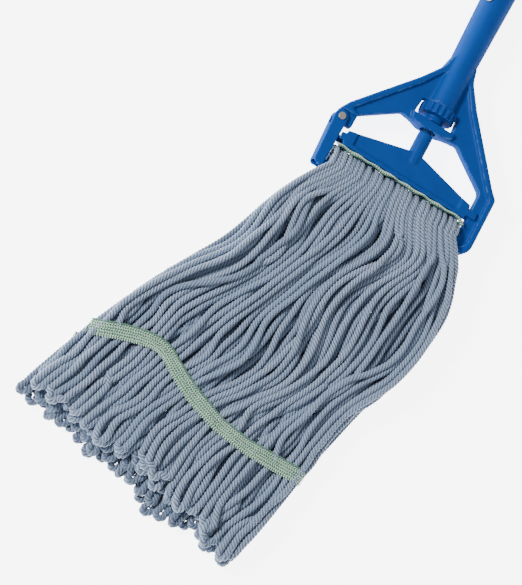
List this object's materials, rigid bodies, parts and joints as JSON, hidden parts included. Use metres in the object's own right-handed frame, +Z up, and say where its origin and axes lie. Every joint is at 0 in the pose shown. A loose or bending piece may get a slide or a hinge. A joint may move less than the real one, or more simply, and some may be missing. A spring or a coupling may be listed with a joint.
{
  "type": "string mop",
  "caption": "Looped-end string mop on a pole, its head clamped by a thumbwheel jaw in a side-gate frame.",
  "frame": {"origin": "under the middle of the whole mop, on the surface that it lies on", "axes": "+Y up the pole towards the grip, +X towards the frame's closed leg, +Z up off the floor"},
  "size_m": [0.324, 1.781, 0.0421],
  "materials": {
    "blue_moulding": "satin moulded plastic",
    "blue_wheel": "satin moulded plastic",
    "screw_plastic": "moulded coarse thread",
    "pin_metal": "headed, dull",
    "rivet_metal": "domed head",
    "pole_blue": "coated fibreglass tube",
    "cap_plastic": "soft vinyl",
    "yarn": "four-ply twisted cotton blend yarn",
    "green_tape": "woven mesh tape with scalloped edge"
  },
  "bodies": {
    "root": {"yarn_upper_half": "yarn", "yarn_lower_half": "yarn", "tail_band_upper": "green_tape", "tail_band_lower": "green_tape"},
    "handle": {"yoke_frame": "blue_moulding", "gate_pin": "pin_metal", "pole_tube": "pole_blue", "pole_rivet": "rivet_metal", "pole_end_cap": "cap_plastic", "headband": "green_tape", "yarn_crown": "yarn"},
    "gate": {"gate_arm": "blue_moulding"},
    "jaw": {"jaw_bar": "blue_moulding", "jaw_screw": "screw_plastic"},
    "wheel": {"thumbwheel": "blue_wheel"}
  },
  "joints": [
    {"name": "handle_lift", "type": "hinge", "parent": "root", "child": "handle", "pos_m": [0.06499, -0.4775, 0.0215], "axis": [1, 0, 0], "range_deg": [0, 90]},
    {"name": "wheel_turn", "type": "hinge", "parent": "handle", "child": "wheel", "pos_m": [0.06499, -0.3635, 0.0215], "axis": [0, -1, 0], "range_deg": [0, 720]},
    {"name": "jaw_slide", "type": "slide", "parent": "handle", "child": "jaw", "axis": [0, 1, 0], "range_m": [0, 0.008]},
    {"name": "gate_swing", "type": "hinge", "parent": "handle", "child": "gate", "pos_m": [-0.02351, -0.4245, 0.0215], "axis": [0, 0, -1], "range_deg": [0, 95]}
  ],
  "couplings": [
    {"joint": "wheel_turn", "follows": "jaw_slide", "rad_per_m": 1570.8}
  ]
}
